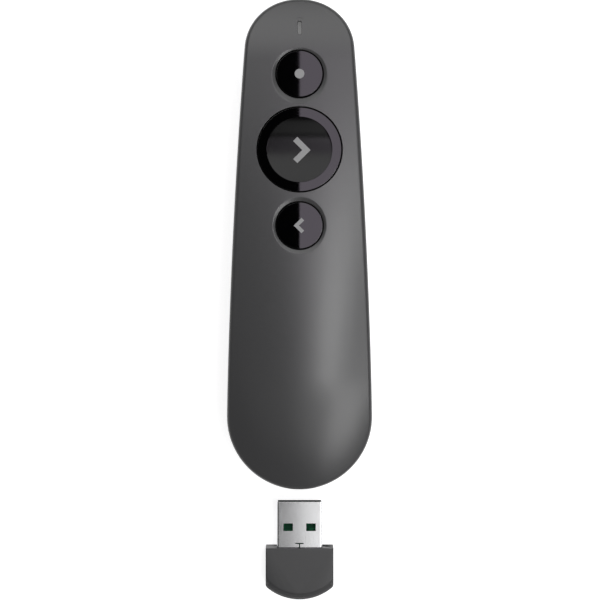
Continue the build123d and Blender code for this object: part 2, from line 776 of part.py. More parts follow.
plug_span = plug_length + plug_root
sleeve = extrude(plug_section(0) - plug_section(plug_wall), amount=plug_span)
receiver_shell = Pos(0, mouth_y, 0) * sleeve
for side in (-1, 1):
    window_y = mouth_y - plug_window_from_mouth
    receiver_shell = receiver_shell - Pos(side * plug_window_x, window_y, plug_axis_height) * Box(
        plug_window_width, plug_window_length, 2 * plug_height
    )
seam_y = mouth_y - seam_mark_from_mouth
plug_top = plug_axis_height + plug_height / 2
receiver_shell = receiver_shell - block(-seam_mark_width / 2, seam_mark_width / 2, seam_y - seam_slit, seam_y,
                                        plug_top - 2 * plug_wall, plug_top + 1)
receiver_shell = receiver_shell - block(-seam_slit / 2, seam_slit / 2, root_y - 1, seam_y,
                                        plug_top - 2 * plug_wall, plug_top + 1)

tongue_half = plug_width / 2 - plug_wall - tongue_side_gap
tongue_low = plug_axis_height - plug_height / 2 + plug_wall + tongue_hollow
receiver_board = block(-tongue_half, tongue_half, root_y, mouth_y - tongue_setback, tongue_low,
                       tongue_low + tongue_thickness)
receiver_board += block(-tongue_half, tongue_half, root_y, housing_front_y,
                        plug_axis_height - plug_height / 2 + plug_wall + tongue_side_gap,
                        plug_axis_height + plug_height / 2 - plug_wall - tongue_side_gap)
pads = [
    block(x - width / 2, x + width / 2, mouth_y - tongue_setback - pad_length, mouth_y - 1.5 * tongue_setback,
          tongue_low - pad_thickness, tongue_low)
    for x, width in zip(pad_places, pad_widths)
]
receiver_contacts = Compound(children=pads)

# ---------------------------------------------------------------- dock liner and the socket behind it
dock_liner = block(-dock_half_width - dock_wall, dock_half_width + dock_wall, tail_y, socket_back_y, 0,
                   dock_roof + dock_wall)
dock_liner = (dock_liner & hull(wall + liner_fit)) - dock_room - plug_passage
socket_high = plug_axis_height + plug_height / 2 + socket_fit
dock_socket = block(-socket_half_width, socket_half_width, socket_back_y, socket_front_y, plug_low,
                    socket_high + socket_wall)
slot_half_width = plug_width / 2 + socket_fit
dock_socket = dock_socket - block(-slot_half_width, slot_half_width, socket_back_y - 1,
                                  socket_front_y - socket_end_wall, plug_low - 1, socket_high)

# ---------------------------------------------------------------- files, one for each piece
nodes = {
    "top_shell": top_shell,
    "bottom_shell": bottom_shell,
    "battery_door": battery_door,
    "door_latch": door_latch,
    "laser_button": laser_cap,
    "laser_dot": laser_mark,
    "next_button": next_cap,
    "next_chevron": next_mark,
    "back_button": back_cap,
    "back_chevron": back_mark,
    "light_pipe": light_pipe,
    "status_led": status_led,
    "main_board": main_board,
    "radio_chip": radio_chip,
    "crystal": crystal,
    "chip_capacitors": chip_capacitors,
    "chassis": chassis,
    "battery_left": battery_left,
    "battery_right": battery_right,
    "positive_contact": positive_contact,
    "negative_contact": negative_contact,
    "bridge_contact": bridge_contact,
    "laser_module": laser_module,
    "laser_lens": laser_lens,
    "laser_window": laser_window,
    "case_screws": Compound(children=[case_screw(x, y) for x, y in case_screws_at]),
    "board_screws": Compound(children=[board_screw(y) for y in board_screw_ys]),
    "dock_liner": dock_liner,
    "dock_socket": dock_socket,
    "receiver_housing": receiver_housing,
    "receiver_shell": receiver_shell,
    "receiver_board": receiver_board,
    "receiver_contacts": receiver_contacts,
}
for name in buttons:
    nodes[f"{name}_switch"] = switch(name)
    nodes[f"{name}_plunger"] = plunger(name)

os.makedirs("parts", exist_ok=True)
for name, piece in nodes.items():
    export_step(piece, f"parts/{name}.step")
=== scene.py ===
import json
import logging
import math
from abc import ABC, abstractmethod
from collections.abc import Callable, Iterator
from dataclasses import dataclass
from enum import Enum

import bmesh
import bpy
import numpy as np
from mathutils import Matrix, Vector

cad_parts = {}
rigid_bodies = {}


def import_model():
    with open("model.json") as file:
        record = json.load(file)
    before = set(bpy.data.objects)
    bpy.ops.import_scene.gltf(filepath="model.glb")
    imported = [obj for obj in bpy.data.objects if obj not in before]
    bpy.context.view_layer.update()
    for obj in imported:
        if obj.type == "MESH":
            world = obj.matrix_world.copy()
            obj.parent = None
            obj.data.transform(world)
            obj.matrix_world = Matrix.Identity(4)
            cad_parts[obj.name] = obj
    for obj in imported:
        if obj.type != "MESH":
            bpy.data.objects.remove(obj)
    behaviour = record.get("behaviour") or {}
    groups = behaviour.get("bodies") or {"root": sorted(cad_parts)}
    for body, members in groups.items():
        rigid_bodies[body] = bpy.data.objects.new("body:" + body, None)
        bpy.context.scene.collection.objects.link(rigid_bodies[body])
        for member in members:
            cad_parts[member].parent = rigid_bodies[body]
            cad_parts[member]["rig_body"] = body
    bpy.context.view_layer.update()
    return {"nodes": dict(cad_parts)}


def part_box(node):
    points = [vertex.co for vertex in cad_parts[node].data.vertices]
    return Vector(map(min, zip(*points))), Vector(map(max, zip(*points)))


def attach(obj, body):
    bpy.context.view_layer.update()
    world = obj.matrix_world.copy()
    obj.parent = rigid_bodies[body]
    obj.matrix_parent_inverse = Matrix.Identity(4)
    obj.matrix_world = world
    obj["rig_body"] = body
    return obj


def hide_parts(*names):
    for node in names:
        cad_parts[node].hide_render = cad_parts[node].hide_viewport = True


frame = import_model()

LOG = logging.getLogger("clicker")
MM = 0.001  # one millimetre in metres; only the studio's lengths are written in metres
TINY = 1e-9  # keeps a division clear of zero
GRID_WELD = 0.002  # millimetres within which points of two grids are one
SOLID_WELD = 0.0005  # the same for the loose triangles of a solid
KEYS = ("laser", "next", "back")
Array = np.ndarray
Triple = tuple[float, float, float]
Colour = Triple
Socket = bpy.types.NodeSocket
Level = float | Callable[[Array], Array]
Profile = list[tuple[float, Level, float]]


class Side(Enum):
    """Which way an arrow mark points."""

    LEFT = -1
    RIGHT = 1


class Brushing(Enum):
    """Direction of the fine lines in metal, as a noise's scale along each axis."""

    ALONG = (1.0, 0.04, 1.0)
    ACROSS = (0.04, 1.0, 1.0)
    NONE = (1.0, 1.0, 1.0)


# ---------------------------------------------------------------- points
def soft_minimum(first: Array, second: Array, blend: float) -> Array:
    """Lower of two heights with a rounded meeting: (a + b - sqrt((a - b)^2 + blend^2)) / 2."""
    return (first + second - np.sqrt((first - second) ** 2 + blend**2)) / 2


def polar(angle: Array, radius: Array | float, y: float) -> Array:
    """Points round a place on the middle line, with x and y in the last axis."""
    return np.stack([radius * np.cos(angle), y + radius * np.sin(angle)], axis=-1)


def raised(points: Array, height: Array) -> Array:
    """The same points with a height as a third coordinate."""
    return np.concatenate([points, height[..., None]], axis=-1)


# ---------------------------------------------------------------- form of the handset
@dataclass(frozen=True)
class Form:
    """Outline, top and underside of the handset in millimetres, nose towards +Y.

    The outline is four arcs on each side, each tangent to the next, and a point on it is
    found by the direction that it faces. The top is a family of circles across the handset,
    whose crest is a long arc with a parabola taken off at each end. The underside is a round
    bilge and a flat belly that curves upwards towards the nose.
    """

    nose: float
    tail: float
    tip_radius: float = 14.9
    tip_angle: float = math.radians(21.0)
    shoulder_radius: float = 13.45
    side_radius: float = 1860.0
    tail_radius: float = 18.6
    crest_height: float = 21.98
    crest_from_nose: float = 57.0
    crest_radius: float = 1500.0
    nose_roll_length: float = 16.0
    nose_roll_radius: float = 45.0
    tail_roll_length: float = 29.5
    tail_roll_radius: float = 80.0
    nose_crown_radius: float = 250.0
    tail_crown_radius: float = 36.0
    bilge_radius: float = 8.0
    belly_rise_length: float = 32.0
    belly_rise_radius: float = 130.0

    def arcs(self) -> tuple[Array, Array, Array]:
        """Arcs of the +X side from tail to nose.

        Returns:
            The centres, the radii and the facing angles at which one arc gives way to the next.
        """
        tip = np.array([0.0, self.nose - self.tip_radius])
        lean = np.array([math.sin(self.tip_angle), math.cos(self.tip_angle)])
        shoulder = tip + lean * (self.tip_radius - self.shoulder_radius)
        tail = np.array([0.0, self.tail + self.tail_radius])
        line = shoulder - tail
        span = float(np.hypot(*line))
        from_tail = self.side_radius - self.tail_radius
        from_shoulder = self.side_radius - self.shoulder_radius
        run = (from_tail**2 - from_shoulder**2 + span**2) / (2 * span)
        rise = math.sqrt(from_tail**2 - run**2)
        side = tail + (line * run + np.array([-line[1], line[0]]) * rise) / span
        changes = [math.atan2(*(point - side)[::-1]) for point in (tail, shoulder)]
        changes.append(math.pi / 2 - self.tip_angle)
        radii = np.array([self.tail_radius, self.side_radius, self.shoulder_radius, self.tip_radius])
        return np.array([tail, side, shoulder, tip]), radii, np.array(changes)

    def edge(self, facing: Array, inset: Array | float = 0.0) -> Array:
        """Points of the outline, moved inwards: centre + (radius - inset) (cos, sin) of the facing angle.

        Args:
            facing: Directions that the points face, in radians.
            inset: Distance inwards, one for all points or one each.

        Returns:
            The points, with x and y in the last axis.
        """
        centres, radii, changes = self.arcs()
        mirror = np.where(np.cos(facing) < 0, -1.0, 1.0)
        folded = np.arctan2(np.sin(facing), np.abs(np.cos(facing)))
        arc = np.searchsorted(changes, folded)
        reach = radii[arc] - inset
        x = mirror * (centres[arc, 0] + reach * np.cos(folded))
        return np.stack([x, centres[arc, 1] + reach * np.sin(folded)], axis=-1)

    def facing_at(self, y: Array, inset: float) -> Array:
        """Facing angle of the +X side: arcsin((y - centre) / radius).

        Args:
            y: Places along the handset.
            inset: Distance inwards of the line that the places are on.

        Returns:
            The angles in radians.
        """
        centres, radii, changes = self.arcs()
        ends = centres[:3, 1] + (radii[:3] - inset) * np.sin(changes)
        arc = np.searchsorted(ends, y)
        return np.arcsin((y - centres[arc, 1]) / (radii[arc] - inset))

    def crest(self, y: Array) -> Array:
        """Height of the top on the middle line: a long arc, less (run into the roll)^2 / (2 r) at each end.

        Args:
            y: Places along the handset.

        Returns:
            The heights.
        """
        u = self.nose - y
        into_nose = np.maximum(self.nose_roll_length - u, 0.0)
        into_tail = np.maximum(u - (self.nose - self.tail - self.tail_roll_length), 0.0)
        rolled = into_nose**2 / (2 * self.nose_roll_radius) + into_tail**2 / (2 * self.tail_roll_radius)
        return self.crest_height - (u - self.crest_from_nose) ** 2 / (2 * self.crest_radius) - rolled

    def height(self, points: Array) -> Array:
        """Height of the top: crest - r + sqrt(r^2 - x^2), where 1/r blends from nose to tail.

        Args:
            points: Places with x and y in the last axis.

        Returns:
            The heights.
        """
        x, y = points[..., 0], points[..., 1]
        share = ((self.nose - y) / (self.nose - self.tail)) ** 2
        radius = 1 / ((1 - share) / self.nose_crown_radius + share / self.tail_crown_radius)
        return self.crest(y) - radius + np.sqrt(radius**2 - x**2)

    def on_top(self, points: Array) -> Array:
        """The same points with their height on the top as a third coordinate."""
        return raised(points, self.height(points))

    def nearest_edge(self, points: Array) -> tuple[Array, Array]:
        """Nearest point of the outline, found on each arc in turn.

        Args:
            points: Places with x and y in the last axis.

        Returns:
            The direction that the nearest point faces on the +X side, and its distance.
        """
        centres, radii, changes = self.arcs()
        limits = np.concatenate([[-math.pi / 2], changes, [math.pi / 2]])
        folded = points * np.where(points[..., :1] < 0, [-1.0, 1.0], [1.0, 1.0])
        facings, distances = [], []
        for centre, radius, low, high in zip(centres, radii, limits[:-1], limits[1:]):
            arm = folded - centre
            facing = np.clip(np.arctan2(arm[..., 1], arm[..., 0]), low, high)
            foot = centre + radius * np.stack([np.cos(facing), np.sin(facing)], axis=-1)
            facings.append(facing)
            distances.append(np.linalg.norm(foot - folded, axis=-1))
        nearest = np.argmin(distances, axis=0)[None]
        return (np.take_along_axis(np.array(facings), nearest, 0)[0],
                np.take_along_axis(np.array(distances), nearest, 0)[0])

    def underside(self, points: Array) -> tuple[Array, Array]:
        """Side, bilge and belly as one smooth surface.

        With R the bilge radius, d the distance to the outline and b the belly's height, the
        bilge's circle lies R - d outwards and R + b - z downwards of its middle. Both are 0 at least.

        Args:
            points: Places with x, y and z in the last axis.

        Returns:
            The surface's outward direction and the depth of each point under it.
        """
        x, y, z = np.moveaxis(points, -1, 0)
        facing, distance = self.nearest_edge(points[..., :2])
        climb = np.maximum(y - self.nose + self.belly_rise_length, 0.0) / self.belly_rise_radius
        level = np.sqrt(1 - climb**2)
        belly = self.belly_rise_radius * (1 - level)
        outwards = np.maximum(self.bilge_radius - distance, 0.0)
        downwards = np.maximum(self.bilge_radius + belly - z, 0.0)
        side = np.stack([np.where(x < 0, -1.0, 1.0) * np.cos(facing), np.sin(facing), 0 * facing], axis=-1)
        below = np.stack([0 * climb, climb, -level], axis=-1)
        direction = side * outwards[..., None] + below * downwards[..., None]
        length = np.maximum(np.linalg.norm(direction, axis=-1, keepdims=True), TINY)
        return direction / length, self.bilge_radius - np.hypot(outwards, downwards)


# ---------------------------------------------------------------- meshes
def placed(name: str, data: bpy.types.ID) -> bpy.types.Object:
    """Puts a mesh, a lamp or a camera into the scene.

    Args:
        name: Name of the object.
        data: The mesh, the lamp or the camera.

    Returns:
        The object, at the origin.
    """
    thing = bpy.data.objects.new(name, data)
    bpy.context.scene.collection.objects.link(thing)
    return thing


def weld(mesh: bpy.types.Mesh, distance: float, outwards: bool = False) -> None:
    """Merges points that lie close together and shades the mesh smooth.

    Args:
        mesh: The mesh.
        distance: Points nearer to each other than this many millimetres become one.
        outwards: True to turn the faces outwards too.
    """
    work = bmesh.new()
    work.from_mesh(mesh)
    bmesh.ops.remove_doubles(work, verts=work.verts, dist=distance * MM)
    if outwards:
        bmesh.ops.recalc_face_normals(work, faces=work.faces)
    work.to_mesh(mesh)
    work.free()
    mesh.shade_smooth()


class Patchwork:
    """Mesh sewn together from grids of points, each of shape (rows, columns, 3) in millimetres."""

    def __init__(self) -> None:
        """Starts with no points and no faces."""
        self.points: list[Array] = []
        self.quads: list[Array] = []
        self.count = 0

    def add(self, grid: Array, ring: bool = False, flip: bool = False) -> "Patchwork":
        """Adds a grid, whose faces look along the cross product of its columns and its rows.

        Args:
            grid: The points.
            ring: True where the last column meets the first.
            flip: True to turn the faces round.

        Returns:
            The patchwork itself.
        """
        rows, columns = grid.shape[:2]
        index = self.count + np.arange(rows * columns).reshape(rows, columns)
        if ring:
            index = np.concatenate([index, index[:, :1]], axis=1)
        corners = [index[:-1, :-1], index[:-1, 1:], index[1:, 1:], index[1:, :-1]]
        quads = np.stack(corners, axis=-1).reshape(-1, 4)
        self.quads.append(quads[:, ::-1] if flip else quads)
        self.points.append(grid.reshape(-1, 3))
        self.count += rows * columns
        return self

    def add_slab(self, grid: Array, depth: float) -> "Patchwork":
        """Adds a closed plate.

        Args:
            grid: The points of its top.
            depth: How much deeper its underside lies.

        Returns:
            The patchwork itself.
        """
        low = grid - np.array([0.0, 0.0, depth])
        around = [(slice(0, 1), slice(None)), (slice(1, None), slice(-1, None))]
        around += [(slice(-1, None), slice(-2, None, -1)), (slice(-2, 0, -1), slice(0, 1))]
        border = [np.concatenate([face[part].reshape(-1, 3) for part in around]) for face in (low, grid)]
        return self.add(grid).add(low, flip=True).add(np.stack(border), ring=True)

    def piece(self, name: str, closed: bool = True) -> bpy.types.Object:
        """Makes the object, with the grids' shared points merged.

        Args:
            name: Name of the piece.
            closed: True where the mesh has an inside, so that its faces can be turned outwards.

        Returns:
            The object, linked to the scene and shaded smooth.
        """
        mesh = bpy.data.meshes.new(name)
        points = np.concatenate(self.points) * MM
        mesh.from_pydata(points.tolist(), [], np.concatenate(self.quads).tolist())
        weld(mesh, GRID_WELD, outwards=closed)
        return placed(name, mesh)

    def fitted(self, name: str, body: str, slot: str, node: str = "",
               crisp: float = 50.0) -> bpy.types.Object:
        """Makes a closed piece with crisp edges and gives it its place in the frame.

        Args:
            name: Name of the piece.
            body: Body that it rides on.
            slot: Slot of its finish; not used.
            node: Solid that it stands for, if there is one.
            crisp: Edges sharper than this many degrees stay crisp.

        Returns:
            The object.
        """
        piece = self.piece(name)
        piece.data.set_sharp_from_angle(angle=math.radians(crisp))
        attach(piece, body)
        if node:
            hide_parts(node)
        return piece


def read(items: bpy.types.bpy_prop_collection, name: str, width: int = 3) -> Array:
    """Values of one property of a mesh's points, corners or faces.

    Args:
        items: The points, corners or faces.
        name: The property.
        width: Count of its numbers.

    Returns:
        One row for each of them.
    """
    values = np.empty(len(items) * width)
    items.foreach_get(name, values)
    return values.reshape(-1, width)


def shade_round(mesh: bpy.types.Mesh, form: Form, reach: float = 0.2, lean: float = 24.0) -> None:
    """Gives the corners on the handset's underside the directions of its smooth form.

    Args:
        mesh: Mesh of the lower shell.
        form: Form that the shell follows.
        reach: Faces that lie farther than this from the form keep their own direction, in millimetres.
        lean: So do faces that lean away from it by more than this many degrees.
    """
    wanted, depth = form.underside(read(mesh.polygons, "center") / MM)
    agree = np.sum(wanted * read(mesh.polygons, "normal"), axis=-1)
    chosen = (np.abs(depth) < reach) & (agree > math.cos(math.radians(lean)))
    of_corner = np.repeat(chosen, read(mesh.polygons, "loop_total", 1)[:, 0].astype(int))
    corners = read(mesh.loops, "vertex_index", 1)[:, 0].astype(int)
    smooth, _ = form.underside(read(mesh.vertices, "co")[corners] / MM)
    mesh.normals_split_custom_set((smooth * of_corner[:, None]).tolist())


def softened(node: str, name: str, angle: float = 32.0, follows: Form | None = None) -> bpy.types.Object:
    """Copy of a solid with its triangles joined and its narrow flats shaded as one curve.

    Args:
        node: The solid that the copy stands for.
        name: Name of the copy.
        angle: Edges sharper than this many degrees stay crisp.
        follows: Form whose underside the solid shows, if it does.

    Returns:
        The copy, riding on the solid's body.
    """
    source = frame["nodes"][node]
    mesh = source.data.copy()
    mesh.name = name
    weld(mesh, SOLID_WELD)
    mesh.set_sharp_from_angle(angle=math.radians(angle))
    thing = placed(name, mesh)
    if follows:
        shade_round(mesh, follows)
    else:
        weights = thing.modifiers.new("even shading", "WEIGHTED_NORMAL")
        weights.keep_sharp = True
    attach(thing, source["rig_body"])
    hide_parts(node)
    return thing


# ---------------------------------------------------------------- finishes
class Recipe:
    """Node tree of one material, put together one node at a time."""

    def __init__(self, name: str) -> None:
        """Starts with a principled shader, its output and the object's own coordinates.

        Args:
            name: Name of the material.
        """
        self.material = bpy.data.materials.new(name)
        self.material.use_nodes = True
        self.tree = self.material.node_tree
        self.tree.nodes.clear()
        self.shader = self.add("BsdfPrincipled")
        self.add("OutputMaterial", Surface=self.shader.outputs[0])
        self.place = self.add("TexCoord").outputs["Object"]

    def feed(self, node: bpy.types.Node, name: str | int, value: object) -> None:
        """Links a socket to an input, or sets the input to a plain value.

        Args:
            node: The node.
            name: Name or number of its input.
            value: Another node's output, a number or a colour.
        """
        socket = node.inputs[name]
        if isinstance(value, Socket):
            self.tree.links.new(value, socket)
        elif isinstance(value, tuple) and len(value) == 3 and socket.type == "RGBA":
            socket.default_value = (*value, 1.0)
        else:
            socket.default_value = value

    def add(self, kind: str, setup: dict[str, object] | None = None, **values: object) -> bpy.types.Node:
        """Adds a node.

        Args:
            kind: The node's type, without its common prefix.
            setup: Properties of the node itself.
            values: Inputs by name, with an underscore for a space.

        Returns:
            The node.
        """
        node = self.tree.nodes.new("ShaderNode" + kind)
        for name, value in (setup or {}).items():
            setattr(node, name, value)
        for name, value in values.items():
            self.feed(node, name.replace("_", " "), value)
        return node

    def noise(self, size: float, detail: float = 2.0, stretch: Triple = (1.0, 1.0, 1.0)) -> Socket:
        """Even noise from 0 to 1.

        Args:
            size: Size of its grains in millimetres.
            detail: Count of the finer layers in it.
            stretch: Scale along each axis, under 1 where the grains are drawn out.

        Returns:
            The noise.
        """
        turned = self.add("Mapping", Vector=self.place, Scale=stretch)
        grain = self.add("TexNoise", Vector=turned.outputs[0], Scale=1 / (size * MM), Detail=detail)
        return grain.outputs[0]

    def span(self, factor: Socket, low: float, high: float, start: float = 0.0, end: float = 1.0) -> Socket:
        """Straight change from low to high as the factor goes from start to end."""
        node = self.add("MapRange", Value=factor, From_Min=start, From_Max=end, To_Min=low, To_Max=high)
        return node.outputs[0]

    def blend(self, factor: Socket, first: object, second: object) -> Socket:
        """Mix of two colours, by the node's inputs and output for colours.

        Args:
            factor: Share of the second colour.
            first: Colour at 0, plain or from a node.
            second: Colour at 1, plain or from a node.

        Returns:
            The mixed colour.
        """
        node = self.add("Mix", {"data_type": "RGBA"})
        for index, value in ((0, factor), (6, first), (7, second)):
            self.feed(node, index, value)
        return node.outputs[2]

    def mottle(self, factor: Socket, colour: Colour, darker: float, lighter: float) -> Socket:
        """Colour that goes from a darker to a lighter shade of itself with a factor."""
        return self.blend(factor, shade(colour, darker), shade(colour, lighter))

    def relief(self, height: Socket, depth: float, strength: float = 1.0) -> None:
        """Bumps of a depth in millimetres."""
        node = self.add("Bump", Height=height, Distance=depth * MM, Strength=strength)
        self.feed(self.shader, "Normal", node.outputs[0])

    def surface(self, **values: object) -> None:
        """Sets inputs of the shader by name, with an underscore for a space."""
        for name, value in values.items():
            self.feed(self.shader, name.replace("_", " "), value)


def shade(colour: Colour, factor: float) -> Colour:
    """A colour made lighter or darker."""
    return tuple(min(channel * factor, 1.0) for channel in colour)


@dataclass(frozen=True)
class Finish(ABC):
    """Finish of a piece, mixed by a recipe of its own."""

    name: str

    @abstractmethod
    def mix(self, recipe: Recipe) -> None:
        """Fills in the recipe."""

    def dress(self, piece: bpy.types.Object) -> bpy.types.Object:
        """Gives a piece this finish, in place of whatever it had.

        Args:
            piece: The piece.

        Returns:
            The same piece.
        """
        recipe = Recipe(self.name)
        self.mix(recipe)
        piece.data.materials.clear()
        piece.data.materials.append(recipe.material)
        return piece


@dataclass(frozen=True)
class MouldedPlastic(Finish):
    """Plastic with a fine spark-eroded grain and a slightly cloudy colour."""

    colour: Colour
    roughness: float = 0.5
    grain: float = 0.16
    depth: float = 0.002
    specular: float = 0.5
    cloud: float = 14.0
    wear: float = 1.1
    wear_roughness: float = 0.03

    def mix(self, recipe: Recipe) -> None:
        """Specks of the grain over a wide cloud.

        Args:
            recipe: The recipe to fill in.
        """
        grain = recipe.noise(self.grain, detail=3.0)
        tone = recipe.mottle(recipe.noise(self.cloud), self.colour, 0.95, 1.05)
        speck = recipe.mottle(recipe.span(grain, 0.0, 1.0, start=0.3, end=0.7), self.colour, 0.9, 1.1)
        smooth, rough = self.roughness - self.wear_roughness, self.roughness + self.wear_roughness
        recipe.surface(
            Base_Color=recipe.blend(recipe.span(grain, 0.3, 0.6), tone, speck),
            Roughness=recipe.span(recipe.noise(self.wear), smooth, rough),
            Specular_IOR_Level=self.specular,
        )
        recipe.relief(grain, self.depth)


@dataclass(frozen=True)
class PolishedPlastic(Finish):
    """Plastic with a mirror polish or a fine satin, and a trace of haze in it."""

    colour: Colour
    roughness: float = 0.035
    smoother: float = 0.008
    rougher: float = 0.012
    haze: float = 0.9
    haze_tone: float = 0.2
    specular: float = 0.5
    ripple: float = 0.12
    ripple_depth: float = 0.0003

    def mix(self, recipe: Recipe) -> None:
        """Haze in the colour and the polish, over faint ripples.

        Args:
            recipe: The recipe to fill in.
        """
        haze = recipe.noise(self.haze, detail=4.0)
        recipe.surface(
            Base_Color=recipe.mottle(haze, self.colour, 1 - self.haze_tone, 1 + self.haze_tone),
            Roughness=recipe.span(haze, self.roughness - self.smoother, self.roughness + self.rougher),
            Specular_IOR_Level=self.specular,
        )
        recipe.relief(recipe.noise(self.ripple), self.ripple_depth)


@dataclass(frozen=True)
class Metal(Finish):
    """Rolled, plated or turned metal."""

    colour: Colour
    roughness: float = 0.3
    brushing: Brushing = Brushing.ALONG
    line: float = 0.12
    line_depth: float = 0.0008
    cloud: float = 5.0

    def mix(self, recipe: Recipe) -> None:
        """Fine lines over a soft cloud.

        Args:
            recipe: The recipe to fill in.
        """
        lines = recipe.noise(self.line, detail=3.0, stretch=self.brushing.value)
        tone = recipe.mottle(recipe.noise(self.cloud), self.colour, 0.93, 1.04)
        recipe.surface(
            Base_Color=recipe.blend(recipe.span(lines, 0.0, 0.5), tone, shade(self.colour, 0.85)),
            Metallic=1.0,
            Roughness=recipe.span(lines, self.roughness - 0.06, self.roughness + 0.08),
        )
        recipe.relief(lines, self.line_depth)


@dataclass(frozen=True)
class CircuitBoard(Finish):
    """Green lacquer over copper tracks that run in straight steps."""

    lacquer: Colour = (0.003, 0.028, 0.013)
    track: Colour = (0.006, 0.06, 0.026)
    pitch: float = 1.6
    track_depth: float = 0.02
    specular: float = 0.04
    grime: float = 0.5

    def mix(self, recipe: Recipe) -> None:
        """Square cells of lacquer with tracks along their borders.

        Args:
            recipe: The recipe to fill in.
        """
        cells = recipe.add("TexVoronoi", {"distance": "CHEBYCHEV"}, Vector=recipe.place,
                           Scale=1 / (self.pitch * MM), Randomness=0.7)
        tracks = recipe.span(cells.outputs[0], 0.0, 1.0, start=0.42, end=0.46)
        recipe.surface(
            Base_Color=recipe.blend(tracks, self.lacquer, self.track),
            Roughness=recipe.span(recipe.noise(self.grime), 0.25, 0.38),
            Specular_IOR_Level=self.specular,
        )
        recipe.relief(tracks, self.track_depth, strength=0.5)


@dataclass(frozen=True)
class CellSleeve(Finish):
    """Printed sleeve of a battery cell: a dark barrel, a copper band at its pole and bare steel ends."""

    pole_y: float
    foot_y: float
    barrel: Colour = (0.02, 0.022, 0.028)
    band: Colour = (0.42, 0.2, 0.07)
    steel: Colour = (0.6, 0.6, 0.6)
    band_share: float = 0.27
    bare: float = 0.9
    print_edge: float = 0.004
    sleeve_edge: float = 0.003
    scuff: float = 0.7
    scuff_depth: float = 0.002

    def mix(self, recipe: Recipe) -> None:
        """Colours by the share of the length from foot to pole, folded in two for the bare ends.

        Args:
            recipe: The recipe to fill in.
        """
        along = recipe.add("SeparateXYZ", Vector=recipe.place).outputs[1]
        share = recipe.span(along, 0.0, 1.0, start=self.foot_y * MM, end=self.pole_y * MM)
        start = 1 - self.band_share
        in_band = recipe.span(share, 0.0, 1.0, start=start, end=start + self.print_edge)
        printed = recipe.blend(in_band, self.barrel, self.band)
        near_end = recipe.add("Math", {"operation": "PINGPONG"})
        recipe.feed(near_end, 0, share)
        recipe.feed(near_end, 1, 0.5)
        margin = self.bare / abs(self.pole_y - self.foot_y)
        bare = recipe.span(near_end.outputs[0], 1.0, 0.0, start=margin, end=margin + self.sleeve_edge)
        scuffs = recipe.noise(self.scuff, detail=4.0)
        recipe.surface(
            Base_Color=recipe.blend(bare, printed, self.steel),
            Metallic=recipe.span(bare, 0.35, 1.0),
            Roughness=recipe.span(scuffs, 0.22, 0.36),
        )
        recipe.relief(scuffs, self.scuff_depth)


@dataclass(frozen=True)
class ClearPlastic(Finish):
    """Clear or smoked plastic that light passes through."""

    colour: Colour
    roughness: float = 0.08
    clearness: float = 0.9
    bending: float = 1.49
    flow: float = 0.8

    def mix(self, recipe: Recipe) -> None:
        """Faint marks of the plastic's flow in a clear body.

        Args:
            recipe: The recipe to fill in.
        """
        flow = recipe.noise(self.flow)
        recipe.surface(
            Base_Color=recipe.mottle(flow, self.colour, 0.94, 1.05),
            Roughness=recipe.span(flow, self.roughness * 0.8, self.roughness * 1.3),
            Transmission_Weight=self.clearness,
            IOR=self.bending,
        )


@dataclass(frozen=True)
class CeramicChip(Finish):
    """Fired tan ceramic with a fine even grain."""

    colour: Colour = (0.3, 0.2, 0.12)
    grain: float = 0.15
    depth: float = 0.003

    def mix(self, recipe: Recipe) -> None:
        """One grain for the colour, the gloss and the relief.

        Args:
            recipe: The recipe to fill in.
        """
        grain = recipe.noise(self.grain)
        recipe.surface(
            Base_Color=recipe.mottle(grain, self.colour, 0.85, 1.15),
            Roughness=recipe.span(grain, 0.35, 0.5),
        )
        recipe.relief(grain, self.depth)


# ---------------------------------------------------------------- top shell
@dataclass(frozen=True)
class Opening:
    """Hole in the top shell on its middle line, round or long in Y, with an optional conical surround."""

    y: float
    radius: float
    straight: float = 0.0
    surround_width: float = 0.0
    surround_depth: float = 0.0
    rounding: float = 0.08
    seat_depth: float = 2.6
    margin: float = 0.35

    @property
    def collar(self) -> float:
        """Width round the hole that is modelled in circles."""
        return self.surround_width + self.margin

    def reach(self, angle: Array, offset: float) -> Array:
        """Distance from the middle to the edge moved outwards.

        A ray meets either a straight side at r / |cos| or an end circle at
        a |sin| + sqrt(r^2 - a^2 cos^2), with r the half width and a the half length of the side.

        Args:
            angle: Directions of the rays.
            offset: Distance that the edge is moved outwards.

        Returns:
            The distances.
        """
        radius = self.radius + offset
        cosine, sine = np.abs(np.cos(angle)), np.abs(np.sin(angle))
        side = radius / np.maximum(cosine, TINY)
        over_end = self.straight * sine + np.sqrt(np.maximum(radius**2 - (self.straight * cosine) ** 2, 0.0))
        return np.where(side * sine <= self.straight, side, over_end)


